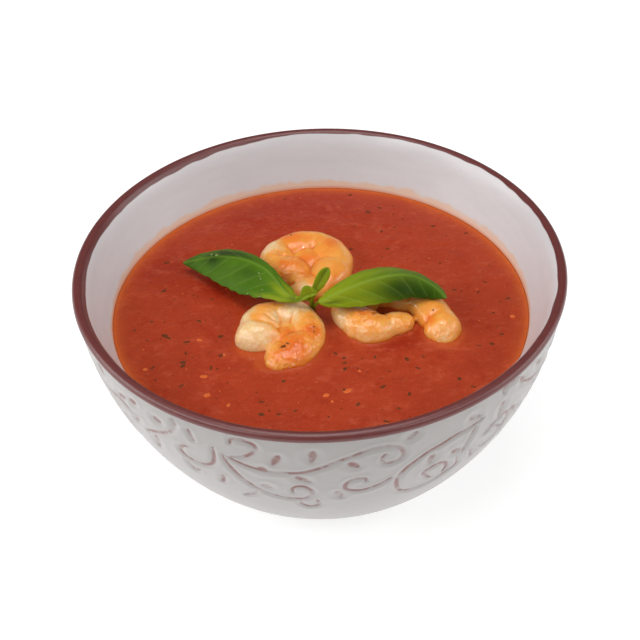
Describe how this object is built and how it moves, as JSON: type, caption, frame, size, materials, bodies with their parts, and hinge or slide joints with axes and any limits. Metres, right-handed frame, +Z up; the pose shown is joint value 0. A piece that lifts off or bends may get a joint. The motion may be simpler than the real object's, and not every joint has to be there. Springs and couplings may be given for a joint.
{
  "type": "bowl of gazpacho",
  "caption": "Glazed stoneware bowl filled with thick tomato soup, with curled peeled shrimps half sunk in it and a basil sprig on top.",
  "frame": {"origin": "on the bowl's axis at the level of the surface it stands on", "axes": "+Z up along the bowl's axis, -Y towards the viewer of the picture, +X to the viewer's right"},
  "size_m": [0.16, 0.16, 0.076],
  "materials": {
    "bowl_glaze": "glossy off-white glaze with a brown painted rim and scrollwork",
    "tomato_soup": null,
    "shrimp": null,
    "basil": null
  },
  "bodies": {
    "root": {"bowl": "bowl_glaze", "soup": "tomato_soup", "shrimp_front": "shrimp", "shrimp_back": "shrimp", "shrimp_right": "shrimp", "basil_sprig": "basil"}
  },
  "joints": []
}
